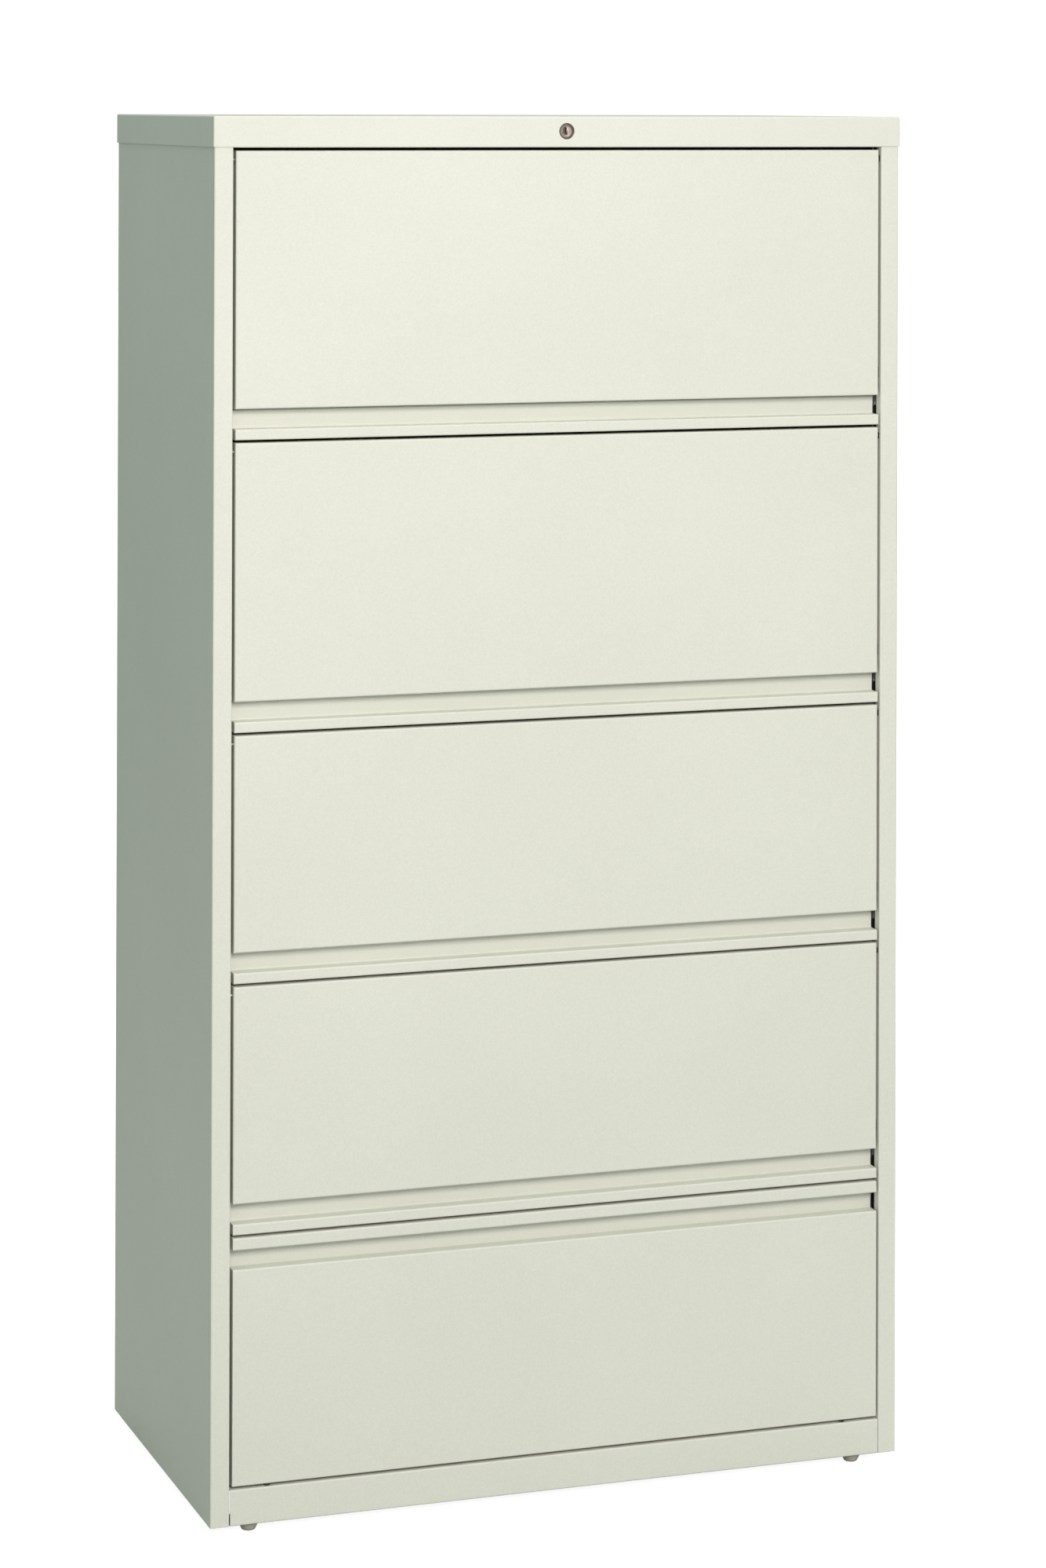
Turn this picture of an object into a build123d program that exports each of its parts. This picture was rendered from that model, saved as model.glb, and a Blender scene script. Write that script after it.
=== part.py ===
"""Five-high lateral filing cabinet in sheet steel, in millimetres.

Four upper openings each have a receding door and a roll-out shelf, and the
bottom opening has a fixed-front drawer. +Z is up, the front faces -Y, and the
origin is on the floor, under the middle of the top cap.
"""

import os

from build123d import *

# ---------------------------------------------------------------- driving sizes
CAP_WIDTH = 914.4  # 36 in
CAP_DEPTH = 473.1  # 18 5/8 in
CAP_HEIGHT = 37.8
CAP_OVERHANG = 1.5  # the cap stands proud of the sides and the front
CAP_OVERHANG_BACK = 3.0
GLIDE_HEIGHT = 12.0  # floor to the underside of the base
BASE_HEIGHT = 45.6
TOP_MARGIN = 40.5  # top pitch line to the top of the cap
SHEET = 1.0
WELD_GAP = 0.03  # between pieces that are spot-welded together
BEND = 2.0  # outside bend radius of the folded sheets
GAP = 3.6  # gap between one front and the next

OPENING_HALF = 431.6  # half of the clear width between the stiles
JAMB_DEPTH = 13.5  # depth of the return flange behind each stile
RAIL_FLANGE = 19.0  # depth of the base rails' upper flanges
FRONT_HALF = 428.2  # half width of the doors, the shelf lips and the drawer front
TRAY_HALF = 420.3  # half width of the trays and of the drawer body

PITCHES = [304.8, 304.8, 304.8, 355.6, 355.6]  # opening heights, bottom to top

# receding doors
DOOR_DEPTH = 18.0
DOOR_BOTTOM = 39.5  # pitch line to the bottom edge of a door
AXIS_BACK = 9.0  # pivot axis behind the door's face
AXIS_DROP = 11.0  # pivot axis below the door's top edge
DOOR_STICK_OUT = 13.0  # how far a receded door stands out of the front
ROD_RADIUS = 4.0
PIN_RADIUS = 2.5
PIN_CLEARANCE = 0.06
ROLLER_RADIUS = 6.0
TRACK_HALF = 7.5
TRACK_SHEET = 1.2
TRACK_X = (435.6, 446.8)

# telescopic slides, one pair for each shelf and for the drawer
SLIDE_CENTRE = 20.5  # pitch line to the slide's middle
SLIDE_FRONT = 24.0  # front end of the slide behind the front plane
SLIDE_LENGTH = 406.0
SLIDE_SHEET = 1.2
SLIDE_X = 433.0  # mounting face on the uprights

# roll-out shelves
LIP_BOTTOM = 1.8
LIP_TOP = 15.0
RECESS_DEPTH = 18.0
RECESS_TOP = 38.0
TRAY_FLOOR = 6.0
TRAY_WALL_TOP = 36.0
TRAY_BACK = 430.0

# bottom drawer
DRAWER_WALL_TOP = 256.0
RAIL_BOTTOM = 16.6  # below the pitch line above the drawer
PANEL_TOP = 40.0

# lock
LOCK_DROP = 18.5  # lock centre below the top of the cap
LOCK_HOLE_RADIUS = 10.2
PLUG_RADIUS = 8.0
LOCK_TRAVEL = 12.0
CATCH_RISE = 30.0  # catch lug above the bottom edge of a door

# levelling glides
GLIDE_X = 402.0
GLIDE_INSET = 20.0
STEM_RADIUS = 5.0

# ---------------------------------------------------------------- derived sizes
FRONT = -CAP_DEPTH / 2 + CAP_OVERHANG
BACK = CAP_DEPTH / 2 - CAP_OVERHANG_BACK
BODY_HALF = CAP_WIDTH / 2 - CAP_OVERHANG
SIDE_INNER = BODY_HALF - SHEET
FLOOR = GLIDE_HEIGHT

lines = [FLOOR + BASE_HEIGHT]
for pitch in PITCHES:
    lines.append(lines[-1] + pitch)
TOP = lines[-1] + TOP_MARGIN
LOCK_Z = TOP - LOCK_DROP
BODY_TOP = TOP - SHEET - 0.2

# openings are numbered from the top, as a person counts them
DRAWER_LINES = (lines[0], lines[1])
SHELF_LINES = {n: (lines[5 - n], lines[6 - n]) for n in (1, 2, 3, 4)}


def axis_of(number):
    """Height of a door's pivot axis."""
    return SHELF_LINES[number][1] - GAP / 2 - AXIS_DROP


def recede_of(number):
    """How far a door's pivot travels back."""
    bottom, top = SHELF_LINES[number]
    reach = top - GAP / 2 - AXIS_DROP - bottom - DOOR_BOTTOM
    return reach - AXIS_BACK - DOOR_STICK_OUT


def catch_of(number):
    """Height of the middle of a door's catch lug."""
    return SHELF_LINES[number][0] + DOOR_BOTTOM + CATCH_RISE


DRAWER_CATCH = DRAWER_LINES[0] + 60.0
DOOR_CATCHES = [catch_of(n) for n in SHELF_LINES]


def block(x, y, z, mode=Mode.ADD):
    """A box between two corners, in the open part. y is measured from the front plane."""
    centre = ((x[0] + x[1]) / 2, FRONT + (y[0] + y[1]) / 2, (z[0] + z[1]) / 2)
    with Locations(centre):
        Box(x[1] - x[0], y[1] - y[0], z[1] - z[0], mode=mode)


def folded(points, thickness=SHEET, radius=BEND, side=Side.LEFT):
    """The section of a folded sheet along its outer line, in the open sketch."""
    with BuildLine() as outline:
        outer = FilletPolyline(*points, radius=radius)
        offset(outer, amount=thickness, side=side, mode=Mode.ADD)
    make_face(outline.edges())


def rod_along_x(x, y, z, radius, mode=Mode.ADD):
    """A round rod between two x values, in the open part."""
    with Locations(Location(((x[0] + x[1]) / 2, FRONT + y, z), (0, 90, 0))):
        Cylinder(radius, x[1] - x[0], mode=mode)


def rod_along_y(x, y, z, radius, mode=Mode.ADD):
    """A round rod between two depths behind the front plane, in the open part."""
    with Locations(Location((x, FRONT + (y[0] + y[1]) / 2, z), (90, 0, 0))):
        Cylinder(radius, y[1] - y[0], mode=mode)


def save(piece, name):
    """Labels a finished piece and writes its file."""
    piece.part.label = name
    export_step(piece.part, f"parts/{name}.step")


os.makedirs("parts", exist_ok=True)

# ------------------------------------------------------------------------- case
SCREW_HEIGHTS = [FLOOR + 60 + n * (BODY_TOP - FLOOR - 120) / 6 for n in range(7)]
SCREW_X = BODY_HALF - 11.0
BACK_DEPTH = BACK - FRONT
REAR_FLANGE = 22.0


def side_panel(side):
    """One side of the case, folded round into the stile, the jamb and the rear flange."""
    section = [
        (side * OPENING_HALF, FRONT + JAMB_DEPTH),
        (side * OPENING_HALF, FRONT),
        (side * BODY_HALF, FRONT),
        (side * BODY_HALF, BACK),
        (side * (BODY_HALF - REAR_FLANGE), BACK),
    ]
    jamb_x = sorted((side * (OPENING_HALF - 0.5), side * (OPENING_HALF + 2.0)))
    with BuildPart() as panel:
        with BuildSketch(Plane.XY.offset(FLOOR)):
            folded(section, side=Side.LEFT if side > 0 else Side.RIGHT)
        extrude(amount=BODY_TOP - FLOOR)
        for number in SHELF_LINES:  # the doors' pins run through these
            z = axis_of(number)
            block(jamb_x, (4.5, JAMB_DEPTH + 0.5), (z - 4, z + 4), Mode.SUBTRACT)
        if side > 0:
            for z in DOOR_CATCHES:  # the lock bar's fingers come through these
                block(jamb_x, (7.2, 11.0), (z - LOCK_TRAVEL - 6, z + 6), Mode.SUBTRACT)
        for z in SCREW_HEIGHTS:
            rod_along_y(side * SCREW_X, (BACK_DEPTH - 2, BACK_DEPTH + 1), z, 2.1, Mode.SUBTRACT)
    return panel


save(side_panel(-1), "left_side_panel")
save(side_panel(1), "right_side_panel")

with BuildPart() as back_panel:
    block((-SIDE_INNER + 1, SIDE_INNER - 1), (BACK_DEPTH - 2.1, BACK_DEPTH - 1.1), (FLOOR + 1, BODY_TOP))
    block((-SIDE_INNER + 30, SIDE_INNER - 30), (BACK_DEPTH - 12, BACK_DEPTH - 2.1), (BODY_TOP - 1, BODY_TOP))
    for x in (-SCREW_X, SCREW_X):
        for z in SCREW_HEIGHTS:
            rod_along_y(x, (BACK_DEPTH - 3, BACK_DEPTH), z, 2.1, Mode.SUBTRACT)
    for x in (-150, 150):  # stiffening ribs pressed into the sheet
        block((x - 12, x + 12), (BACK_DEPTH - 1.1, BACK_DEPTH + 0.4), (FLOOR + 120, TOP - 120))
        block((x - 10, x + 10), (BACK_DEPTH - 2.1, BACK_DEPTH - 0.6), (FLOOR + 122, TOP - 122), Mode.SUBTRACT)
save(back_panel, "back_panel")

with BuildPart() as case_screws:
    for x in (-SCREW_X, SCREW_X):
        for z in SCREW_HEIGHTS:
            rod_along_y(x, (BACK_DEPTH - 5, BACK_DEPTH), z, 2.0)
            rod_along_y(x, (BACK_DEPTH, BACK_DEPTH + 1.8), z, 4.2)
            with Locations((x, BACK + 2.1, z)):
                Box(5.5, 1.6, 1.1, mode=Mode.SUBTRACT)
save(case_screws, "case_screws")

with BuildPart() as top_cap:
    with BuildSketch(Plane.XY.offset(TOP - CAP_HEIGHT)):
        Rectangle(CAP_WIDTH, CAP_DEPTH)
    extrude(amount=CAP_HEIGHT)
    fillet(top_cap.edges().filter_by(Axis.Z), BEND)
    fillet(top_cap.faces().sort_by(Axis.Z)[-1].edges(), BEND)
    offset(amount=-SHEET, openings=top_cap.faces().sort_by(Axis.Z)[0])
    rod_along_y(0, (-CAP_OVERHANG - 1, 1), LOCK_Z, LOCK_HOLE_RADIUS, Mode.SUBTRACT)
save(top_cap, "top_cap")

with BuildPart() as top_front_rail:
    section = [
        (FRONT + 18, BODY_TOP),
        (FRONT, BODY_TOP),
        (FRONT, lines[-1] + GAP / 2),
        (FRONT + 18, lines[-1] + GAP / 2),
    ]
    with BuildSketch(Plane.YZ.offset(-OPENING_HALF + 0.5)):
        folded(section)
    extrude(amount=2 * OPENING_HALF - 1)
    rod_along_y(0, (-1, 2), LOCK_Z, LOCK_HOLE_RADIUS, Mode.SUBTRACT)
save(top_front_rail, "top_front_rail")

BASE_TOP = lines[0] - GAP / 2
BASE_FLANGE = 40.0
BASE_SEAM = 0.9  # gap between a base rail and the stiles


def base_rail(face, inwards):
    """A channel across the base, with holes for the glides in its lower flange."""
    reach = face + inwards * BASE_FLANGE
    glide_y = face + inwards * GLIDE_INSET
    section = [
        (face + inwards * RAIL_FLANGE, BASE_TOP),
        (face, BASE_TOP),
        (face, FLOOR),
        (reach, FLOOR),
    ]
    with BuildPart() as rail:
        with BuildSketch(Plane.YZ.offset(-OPENING_HALF + BASE_SEAM)):
            folded(section, side=Side.LEFT if inwards > 0 else Side.RIGHT)
        extrude(amount=2 * (OPENING_HALF - BASE_SEAM))
        with Locations((-GLIDE_X, glide_y, FLOOR), (GLIDE_X, glide_y, FLOOR)):
            Cylinder(STEM_RADIUS + 0.5, 6, mode=Mode.SUBTRACT)
    return rail


REAR_FACE = BACK - 2.6
save(base_rail(FRONT, 1), "base_front_rail")
save(base_rail(REAR_FACE, -1), "base_rear_rail")

GLIDE_PLACES = {
    "front_left": (-GLIDE_X, FRONT + GLIDE_INSET),
    "front_right": (GLIDE_X, FRONT + GLIDE_INSET),
    "rear_left": (-GLIDE_X, REAR_FACE - GLIDE_INSET),
    "rear_right": (GLIDE_X, REAR_FACE - GLIDE_INSET),
}

with BuildPart() as glide_nuts:
    with BuildSketch(Plane.XY.offset(FLOOR + SHEET)):
        with Locations(*GLIDE_PLACES.values()):
            RegularPolygon(8.5, 6, major_radius=False)
            Circle(STEM_RADIUS + PIN_CLEARANCE, mode=Mode.SUBTRACT)
    extrude(amount=8)
save(glide_nuts, "glide_nuts")


def levelling_glide(place):
    """A screw foot: a tapered pad, a hexagon for the spanner and a threaded stem."""
    x, y = place
    with BuildPart() as glide:
        with BuildSketch(Plane.XZ.offset(-y)):
            with BuildLine():
                Polyline((x, 0), (x + 7, 0), (x + 8.4, 0.8), (x + 12, 8), (x + 12, 9.6))
                Polyline((x + 12, 9.6), (x + 11.4, 10.2), (x, 10.2), (x, 0))
            make_face()
        revolve(axis=Axis((x, y, 0), (0, 0, 1)))
        with BuildSketch(Plane.XY.offset(10.2)):
            with Locations((x, y)):
                RegularPolygon(6.5, 6, major_radius=False)
        extrude(amount=1.3)
        with BuildSketch(Plane.XY.offset(11.5)):
            with Locations((x, y)):
                Circle(STEM_RADIUS)
        extrude(amount=24)
        chamfer(glide.edges().sort_by(Axis.Z)[-1], 0.8)
    return glide


for corner, place in GLIDE_PLACES.items():
    save(levelling_glide(place), f"glide_{corner}")

PAN_Z = BASE_TOP - SHEET - 0.2
with BuildPart() as bottom_pan:
    block((-SIDE_INNER + 0.5, SIDE_INNER - 0.5), (RAIL_FLANGE + 1, BACK_DEPTH - 22), (PAN_Z - 1, PAN_Z))
    for side in (-1, 1):
        flange = sorted((side * (SIDE_INNER - 0.5), side * (SIDE_INNER - 1.5)))
        block(flange, (RAIL_FLANGE + 1, BACK_DEPTH - 22), (FLOOR + 8, PAN_Z - 1))
save(bottom_pan, "bottom_pan")

with BuildPart() as counterweight:
    block((-395, 395), (300, 402), (FLOOR + 12, PAN_Z - 1.2))
    chamfer(counterweight.edges().filter_by(Axis.X), 2)
save(counterweight, "counterweight")

# --------------------------------------------------------------------- uprights
UPRIGHT_YS = [(30.0, 58.0), (394.0, 422.0)]
SLOT_STEP = 25.4
SLOT_COUNT = 62
UPRIGHT_Z = (PAN_Z + 0.2, BODY_TOP - 1)

with BuildPart() as uprights:
    for y0, y1 in UPRIGHT_YS:
        section = [
            (SIDE_INNER - 0.2, FRONT + y0),
            (SLIDE_X, FRONT + y0),
            (SLIDE_X, FRONT + y1),
            (SIDE_INNER - 0.2, FRONT + y1),
        ]
        with BuildSketch(Plane.XY.offset(UPRIGHT_Z[0])):
            folded(section, side=Side.RIGHT)
        extrude(amount=UPRIGHT_Z[1] - UPRIGHT_Z[0])
        middle = (y0 + y1) / 2
        for n in range(SLOT_COUNT):
            slot_z = UPRIGHT_Z[0] + 30 + n * SLOT_STEP
            slot = (slot_z - 6, slot_z + 6)
            block((SLIDE_X - 1, SLIDE_X + 2), (middle - 2, middle + 2), slot, Mode.SUBTRACT)
    for number in SHELF_LINES:  # the door tracks pass through the front posts
        axis = axis_of(number)
        block((SLIDE_X - 1, TRACK_X[1] + 1.5), (28, 60), (axis - 9, axis + 9), Mode.SUBTRACT)
    mirror(about=Plane.YZ)
save(uprights, "uprights")

# ----------------------------------------------------------- telescopic slides
# sections are drawn in x and z, from the mounting face inwards


def slide_member(line, reach, half, y, open_to_case):
    """A pair of mirrored channels: web and flange reach are distances from the mounting face."""
    web, edge = reach
    z = line + SLIDE_CENTRE
    outer = [
        (SLIDE_X - edge, z - half),
        (SLIDE_X - web, z - half),
        (SLIDE_X - web, z + half),
        (SLIDE_X - edge, z + half),
    ]
    with BuildPart() as pair:
        with BuildSketch(Plane.XZ.offset(-FRONT - y[0])):
            folded(outer, SLIDE_SHEET, 2.0, Side.RIGHT if open_to_case else Side.LEFT)
        extrude(amount=y[0] - y[1])
        mirror(about=Plane.YZ)
    return pair


def slides(line, name):
    """The three members of a shelf's or the drawer's pair of slides."""
    end = SLIDE_FRONT + SLIDE_LENGTH
    save(slide_member(line, (0.0, 10.4), 17.5, (SLIDE_FRONT, end), False), f"{name}_slide_outer")
    save(slide_member(line, (3.6, 11.0), 15.2, (SLIDE_FRONT, end - 20), False), f"{name}_slide_middle")
    save(slide_member(line, (12.7, 6.0), 12.0, (SLIDE_FRONT, end - 4), True), f"{name}_slide_inner")


# -------------------------------------------------------------- roll-out shelves
def shelf(number):
    """A tray with low walls, a recessed pull and a full-width lip at the front."""
    z = SHELF_LINES[number][0]
    front_section = [
        (FRONT + RECESS_DEPTH + 5, z + RECESS_TOP),
        (FRONT + RECESS_DEPTH, z + RECESS_TOP),
        (FRONT + RECESS_DEPTH, z + LIP_TOP),
        (FRONT, z + LIP_TOP),
        (FRONT, z + LIP_BOTTOM),
        (FRONT + 16, z + LIP_BOTTOM),
    ]
    wall = RECESS_DEPTH + SHEET
    with BuildPart() as tray:
        with BuildSketch(Plane.YZ.offset(-FRONT_HALF)):
            folded(front_section)
        extrude(amount=2 * FRONT_HALF)
        for side in (-1, 1):  # closed ends of the lip
            x = sorted((side * FRONT_HALF, side * (FRONT_HALF - SHEET)))
            block(x, (0.8, 16), (z + LIP_BOTTOM + 0.8, z + LIP_TOP - 0.8))
        block((-TRAY_HALF, TRAY_HALF), (wall - 0.5, TRAY_BACK), (z + TRAY_FLOOR, z + TRAY_FLOOR + SHEET))
        for side in (-1, 1):
            x = sorted((side * TRAY_HALF, side * (TRAY_HALF - SHEET)))
            block(x, (wall - 0.5, TRAY_BACK), (z + TRAY_FLOOR, z + TRAY_WALL_TOP))
        block((-TRAY_HALF, TRAY_HALF), (TRAY_BACK - SHEET, TRAY_BACK), (z + TRAY_FLOOR, z + 60))
        block((-TRAY_HALF, TRAY_HALF), (wall - 0.5, wall + 0.5), (z + TRAY_FLOOR, z + TRAY_WALL_TOP))
    return tray


# --------------------------------------------------------------- receding doors
def door(number):
    """A folded steel pan that hangs on its pivot rod, with the lock's catch lug."""
    bottom, top = SHELF_LINES[number]
    z0, z1 = bottom + DOOR_BOTTOM, top - GAP / 2
    catch = catch_of(number)
    with BuildPart() as pan:
        block((-FRONT_HALF, FRONT_HALF), (0, DOOR_DEPTH), (z0, z1))
        fillet(pan.faces().sort_by(Axis.Y)[0].edges(), BEND)
        offset(amount=-SHEET, openings=pan.faces().sort_by(Axis.Y)[-1])
        axis = axis_of(number)
        rod_along_x((-450, 450), AXIS_BACK, axis, PIN_RADIUS + PIN_CLEARANCE, Mode.SUBTRACT)
        block((FRONT_HALF + WELD_GAP, FRONT_HALF + 2.9), (12, 15), (catch - 4, catch + 4))
        for x in (-215, 0, 215):  # stiffening hats on the inside
            block((x - 20, x + 20), (0.8, 6), (z0 + 22, axis - 22))
            block((x - 19, x + 19), (1, 5), (z0 + 20, axis - 20), Mode.SUBTRACT)
    return pan


def pivot_rod(number):
    """The rod that keeps both ends of a door level, with a pin at each end."""
    axis = axis_of(number)
    with BuildPart() as rod:
        rod_along_x((-FRONT_HALF + 2, FRONT_HALF - 2), AXIS_BACK, axis, ROD_RADIUS)
        rod_along_x((-TRACK_X[1] + 1.8, TRACK_X[1] - 1.8), AXIS_BACK, axis, PIN_RADIUS)
    return rod


def rollers(number):
    """The pair of nylon rollers on a pivot rod's pins."""
    axis = axis_of(number)
    with BuildPart() as pair:
        rod_along_x((TRACK_X[0] + 0.8, TRACK_X[1] - 2.4), AXIS_BACK, axis, ROLLER_RADIUS)
        chamfer(pair.edges().filter_by(GeomType.CIRCLE), 0.8)
        rod_along_x((TRACK_X[0], TRACK_X[1]), AXIS_BACK, axis, PIN_RADIUS + PIN_CLEARANCE, Mode.SUBTRACT)
        mirror(about=Plane.YZ)
    return pair


def door_tracks(number):
    """The pair of channels that a door's rollers run in, each on two stand-offs."""
    axis = axis_of(number)
    end = AXIS_BACK + recede_of(number) + 11
    section = [
        (TRACK_X[0], axis - TRACK_HALF),
        (TRACK_X[1], axis - TRACK_HALF),
        (TRACK_X[1], axis + TRACK_HALF),
        (TRACK_X[0], axis + TRACK_HALF),
    ]
    with BuildPart() as pair:
        with BuildSketch(Plane.XZ.offset(-FRONT - 2.2)):
            folded(section, TRACK_SHEET, 1.4)
        extrude(amount=2.2 - end)
        for y in (85, end - 25):
            block((TRACK_X[1] - 0.4, SIDE_INNER), (y, y + 12), (axis - 5, axis + 5))
        mirror(about=Plane.YZ)
    return pair


for number in SHELF_LINES:
    save(shelf(number), f"shelf_{number}_tray")
    slides(SHELF_LINES[number][0], f"shelf_{number}")
    save(door(number), f"door_{number}")
    save(pivot_rod(number), f"door_{number}_pivot_rod")
    save(rollers(number), f"door_{number}_rollers")
    save(door_tracks(number), f"door_{number}_tracks")

# ---------------------------------------------------------------- bottom drawer
LOW, HIGH = DRAWER_LINES
RECESS_BACK = 18.0
PANEL_Z = (LOW + GAP / 2, HIGH - PANEL_TOP)
PULL_Z = (HIGH - RAIL_BOTTOM, HIGH - GAP / 2)

with BuildPart() as drawer_front:  # panel, pull rail and the strip behind the recess
    for z0, z1 in (PANEL_Z, PULL_Z):
        section = [
            (FRONT + RECESS_BACK, z0),
            (FRONT, z0),
            (FRONT, z1),
            (FRONT + RECESS_BACK, z1),
        ]
        with BuildSketch(Plane.YZ.offset(-FRONT_HALF)):
            folded(section, side=Side.RIGHT)
        extrude(amount=2 * FRONT_HALF)
        for side in (-1, 1):
            x = sorted((side * FRONT_HALF, side * (FRONT_HALF - SHEET)))
            block(x, (0.8, 17), (z0 + 0.8, z1 - 0.8))
    strip = (RECESS_BACK + WELD_GAP, RECESS_BACK + WELD_GAP + SHEET)
    block((-FRONT_HALF, FRONT_HALF), strip, (PANEL_Z[1] - 8, PULL_Z[0] + 8))
save(drawer_front, "drawer_front")

with BuildPart() as drawer_body:
    depth = (RECESS_BACK + 2 * SHEET, TRAY_BACK)
    block((-TRAY_HALF, TRAY_HALF), depth, (LOW + TRAY_FLOOR, LOW + DRAWER_WALL_TOP))
    fillet(drawer_body.edges().filter_by(Axis.Z), BEND)
    offset(amount=-SHEET, openings=drawer_body.faces().sort_by(Axis.Z)[-1])
save(drawer_body, "drawer_body")

slides(LOW, "drawer")

HANGRAIL_YS = (62.0, 373.0)
with BuildPart() as drawer_fittings:  # two hanging-file rails and the lock's catch lug
    lug_x = (TRAY_HALF + WELD_GAP, TRAY_HALF + 7)
    block(lug_x, (21.5, 24.5), (DRAWER_CATCH - 4, DRAWER_CATCH + 4))
    for y in HANGRAIL_YS:
        x = TRAY_HALF - SHEET - 0.3
        z = LOW + DRAWER_WALL_TOP
        block((-x, x), (y - 1.25, y + 1.25), (z - 13, z - 0.5))
        for side in (-1, 1):
            arm = sorted((side * (x - 12), side * (TRAY_HALF + 1.5)))
            block(arm, (y - 1.25, y + 1.25), (z + 0.2, z + 3))
            riser = sorted((side * (x - 12), side * (x - 0.2)))
            block(riser, (y - 1.25, y + 1.25), (z - 1, z + 1))
            hook = sorted((side * (TRAY_HALF + 0.3), side * (TRAY_HALF + 1.5)))
            block(hook, (y - 1.25, y + 1.25), (z - 8, z + 1))
save(drawer_fittings, "drawer_fittings")

# ------------------------------------------------------------------------- lock
PLUG_FACE = 1.3
CAM_Y = (22.6, 25.0)
LINK_Y = (27.0, 29.0)
CRANK = 11.0

with BuildPart() as lock_housing:
    rod_along_y(0, (0.3, 21.0), LOCK_Z, 9.7)
    rod_along_y(0, (2.0, 8.0), LOCK_Z, 13.0)
    rod_along_y(0, (-2, 22), LOCK_Z, PLUG_RADIUS + PIN_CLEARANCE, Mode.SUBTRACT)
save(lock_housing, "lock_housing")

with BuildPart() as lock_plug:
    rod_along_y(0, (PLUG_FACE, 22.4), LOCK_Z, PLUG_RADIUS)
    chamfer(lock_plug.edges().sort_by(Axis.Y)[0], 0.5)
    block((-0.7, 0.7), (PLUG_FACE - 1, PLUG_FACE + 12), (LOCK_Z - 4.2, LOCK_Z + 4.2), Mode.SUBTRACT)
save(lock_plug, "lock_plug")

with BuildPart() as lock_cam:
    rod_along_y(0, CAM_Y, LOCK_Z, 6.5)
    block((-3.5, 3.5), CAM_Y, (LOCK_Z - CRANK - 3.5, LOCK_Z))
    rod_along_y(0, (CAM_Y[0], LINK_Y[1] + 1.5), LOCK_Z - CRANK, 2.0)
save(lock_cam, "lock_cam")

FOLLOWER_X = 418.0
FOLLOWER_Z = LOCK_Z - 6.0

with BuildPart() as lock_link:
    block((-12, 14), LINK_Y, (LOCK_Z - CRANK - 5, LOCK_Z + 10))
    block((0, 436), LINK_Y, (LOCK_Z + 3, LOCK_Z + 10))
    block((FOLLOWER_X - 22, 436), LINK_Y, (LOCK_Z - 12, LOCK_Z + 14))
    block((-5.2, 5.2), LINK_Y, (LOCK_Z - CRANK - 3, LOCK_Z + 2.5), Mode.SUBTRACT)
    slope_middle = (FOLLOWER_X - LOCK_TRAVEL / 2, FOLLOWER_Z + LOCK_TRAVEL / 2)
    with BuildSketch(Plane.XZ.offset(-FRONT - LINK_Y[0] + 1)):
        with Locations(slope_middle):
            SlotCenterToCenter(LOCK_TRAVEL * 2**0.5, 4.6, rotation=135)
    extrude(amount=-4, mode=Mode.SUBTRACT)
save(lock_link, "lock_link")

BAR_X = (447.8, 452.8)
BAR_Y = (5.0, 8.0)
with BuildPart() as lock_bar:
    block(BAR_X, BAR_Y, (DRAWER_CATCH - LOCK_TRAVEL - 8, FOLLOWER_Z + 5))
save(lock_bar, "lock_bar")

with BuildPart() as lock_bar_arms:  # the follower, a finger for each door and the drawer's hook
    for z in DOOR_CATCHES:
        low = z - LOCK_TRAVEL
        block((FRONT_HALF + 0.8, BAR_X[1]), (BAR_Y[1], BAR_Y[1] + 2), (low - 4, low + 4))
    low = DRAWER_CATCH - LOCK_TRAVEL
    block(BAR_X, (BAR_Y[1], 20.0), (low - 4, low + 4))
    block((TRAY_HALF + 2.7, BAR_X[1]), (18.2, 20.0), (low - 4, low + 4))
    block(BAR_X, (BAR_Y[1], 25.0), (FOLLOWER_Z - 5, FOLLOWER_Z + 5))
    block((FOLLOWER_X - 5, BAR_X[1]), (22.0, 25.0), (FOLLOWER_Z - 5, FOLLOWER_Z + 5))
    rod_along_y(FOLLOWER_X, (22.0, LINK_Y[1] + 1.5), FOLLOWER_Z, 2.0)
save(lock_bar_arms, "lock_bar_arms")

for number in SHELF_LINES:
    print(f"door {number}: axis at z {axis_of(number):.2f}, recedes {recede_of(number):.2f}")
print(f"front plane y {FRONT:.2f}, top z {TOP:.2f}, lock z {LOCK_Z:.2f}, pitch lines {lines}")
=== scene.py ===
"""Looks of a five-high lateral filing cabinet, dressed around its CAD frame.

The CAD nodes keep their shapes and get their real finishes here. The small parts
that need more than sheet work, such as the key plug, the glides and the plastic
stops on the slides, are modelled in Blender on top of the frame.
"""

import logging
import math
from dataclasses import dataclass
from enum import Enum
from typing import Callable

import bpy
from mathutils import Matrix, Vector


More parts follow.
